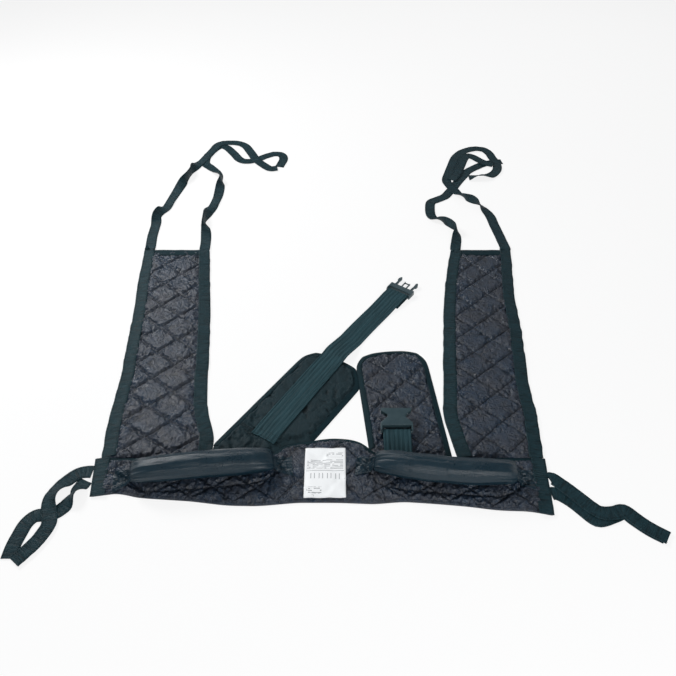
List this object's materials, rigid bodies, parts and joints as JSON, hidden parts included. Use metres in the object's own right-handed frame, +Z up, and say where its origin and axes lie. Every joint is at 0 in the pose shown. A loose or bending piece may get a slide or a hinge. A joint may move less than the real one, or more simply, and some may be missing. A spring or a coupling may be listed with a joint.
{
  "type": "gait belt",
  "caption": "Padded transfer belt with two carer's grips, quilted leg supports with looped straps, and waist pads joined by a side-release buckle.",
  "frame": {"origin": "on the ground under the belt, on the belt's underside, below the middle of the care label", "axes": "+X to the right along the belt, +Y from the belt along the leg supports, +Z up through the padding"},
  "size_m": [1.0931, 1.3938, 0.0572],
  "materials": {
    "quilted_nylon": "satin",
    "smooth_nylon": "satin",
    "lining_cloth": "matte",
    "wadding": "matte",
    "binding_tape": "matte",
    "leg_webbing": "matte",
    "waist_webbing": "matte",
    "grip_nylon": "satin",
    "grip_foam": "matte",
    "label_cloth": "satin",
    "buckle_plastic": "satin"
  },
  "bodies": {
    "belt": {"belt_lining": "lining_cloth", "belt_wadding": "wadding", "belt_quilted_face": "quilted_nylon", "belt_top_binding": "binding_tape", "left_end_band": "leg_webbing", "right_end_band": "leg_webbing", "care_label": "label_cloth"},
    "left_leg": {"left_leg_lining": "lining_cloth", "left_leg_wadding": "wadding", "left_leg_quilted_face": "quilted_nylon", "left_leg_outer_webbing": "leg_webbing", "left_leg_inner_webbing": "leg_webbing", "left_leg_top_binding": "binding_tape"},
    "right_leg": {"right_leg_lining": "lining_cloth", "right_leg_wadding": "wadding", "right_leg_quilted_face": "quilted_nylon", "right_leg_outer_webbing": "leg_webbing", "right_leg_inner_webbing": "leg_webbing", "right_leg_top_binding": "binding_tape"},
    "left_leg_straps": {"left_leg_outer_strap": "leg_webbing", "left_leg_inner_strap": "leg_webbing"},
    "right_leg_straps": {"right_leg_outer_strap": "leg_webbing", "right_leg_inner_strap": "leg_webbing", "right_leg_divider_strap": "leg_webbing"},
    "left_end_loops": {"left_end_upper_strap": "leg_webbing", "left_end_lower_strap": "leg_webbing"},
    "right_end_loops": {"right_end_upper_strap": "leg_webbing", "right_end_lower_strap": "leg_webbing"},
    "left_waist_pad": {"left_pad_lining": "lining_cloth", "left_pad_wadding": "wadding", "left_pad_smooth_face": "smooth_nylon", "left_pad_binding": "binding_tape", "waist_strap_sewn": "waist_webbing"},
    "right_waist_pad": {"right_pad_lining": "lining_cloth", "right_pad_wadding": "wadding", "right_pad_quilted_face": "quilted_nylon", "right_pad_binding": "binding_tape", "female_buckle_tab": "waist_webbing"},
    "waist_strap": {"waist_strap_free": "waist_webbing"},
    "male_buckle": {"male_buckle_body": "buckle_plastic"},
    "left_prong_arm": {"left_prong": "buckle_plastic"},
    "right_prong_arm": {"right_prong": "buckle_plastic"},
    "female_buckle": {"female_buckle_housing": "buckle_plastic"},
    "left_grip": {"left_grip_cover": "grip_nylon", "left_grip_foam": "grip_foam", "left_grip_webbing": "leg_webbing"},
    "right_grip": {"right_grip_cover": "grip_nylon", "right_grip_foam": "grip_foam", "right_grip_webbing": "leg_webbing"}
  },
  "joints": [
    {"name": "left_leg_fold", "type": "hinge", "parent": "belt", "child": "left_leg", "pos_m": [-0.308, 0.02, 0.0097], "axis": [1, 0, 0], "range_deg": [0, 90]},
    {"name": "right_leg_fold", "type": "hinge", "parent": "belt", "child": "right_leg", "pos_m": [0.317, 0.02, 0.0097], "axis": [1, 0, 0], "range_deg": [0, 90]},
    {"name": "left_leg_straps_fold", "type": "hinge", "parent": "left_leg", "child": "left_leg_straps", "pos_m": [-0.3755, 0.6483, 0.0045], "axis": [1, 0, 0], "range_deg": [0, 90]},
    {"name": "right_leg_straps_fold", "type": "hinge", "parent": "right_leg", "child": "right_leg_straps", "pos_m": [0.376, 0.6483, 0.0045], "axis": [1, 0, 0], "range_deg": [0, 90]},
    {"name": "left_end_loops_fold", "type": "hinge", "parent": "belt", "child": "left_end_loops", "pos_m": [-0.4165, -0.02, 0.0068], "axis": [0, 1, 0], "range_deg": [0, 90]},
    {"name": "right_end_loops_fold", "type": "hinge", "parent": "belt", "child": "right_end_loops", "pos_m": [0.393, -0.035, 0.0068], "axis": [0, -1, 0], "range_deg": [0, 90]},
    {"name": "left_waist_pad_fold", "type": "hinge", "parent": "belt", "child": "left_waist_pad", "pos_m": [-0.11, 0.02, 0.0097], "axis": [1, 0, 0], "range_deg": [0, 90]},
    {"name": "right_waist_pad_fold", "type": "hinge", "parent": "belt", "child": "right_waist_pad", "pos_m": [0.16, 0.02, 0.0097], "axis": [1, 0, 0], "range_deg": [0, 75]},
    {"name": "waist_strap_fold", "type": "hinge", "parent": "left_waist_pad", "child": "waist_strap", "pos_m": [0.01597, 0.27529, 0.014], "axis": [0.8251, -0.565, 0], "range_deg": [0, 90]},
    {"name": "male_buckle_tilt", "type": "hinge", "parent": "waist_strap", "child": "male_buckle", "pos_m": [0.16008, 0.47957, 0.00435], "axis": [0.8171, -0.5764, 0], "range_deg": [0, 60]},
    {"name": "left_prong_squeeze", "type": "hinge", "parent": "male_buckle", "child": "left_prong_arm", "pos_m": [0.15734, 0.5091, 0.005], "axis": [0, 0, -1], "range_deg": [0, 8], "stiffness_Nm_per_rad": 0.2},
    {"name": "right_prong_squeeze", "type": "hinge", "parent": "male_buckle", "child": "right_prong_arm", "pos_m": [0.1888, 0.4869, 0.005], "axis": [0, 0, 1], "range_deg": [0, 8], "stiffness_Nm_per_rad": 0.2},
    {"name": "female_buckle_tilt", "type": "hinge", "parent": "right_waist_pad", "child": "female_buckle", "pos_m": [0.132, 0.072, 0.01435], "axis": [1, 0, 0], "range_deg": [0, 45]},
    {"name": "left_grip_lift", "type": "slide", "parent": "belt", "child": "left_grip", "axis": [0, 0, 1], "range_m": [0, 0.025]},
    {"name": "right_grip_lift", "type": "slide", "parent": "belt", "child": "right_grip", "axis": [0, 0, 1], "range_m": [0, 0.025]}
  ],
  "couplings": [
    {"joint": "right_prong_squeeze", "follows": "left_prong_squeeze", "ratio": 1}
  ]
}
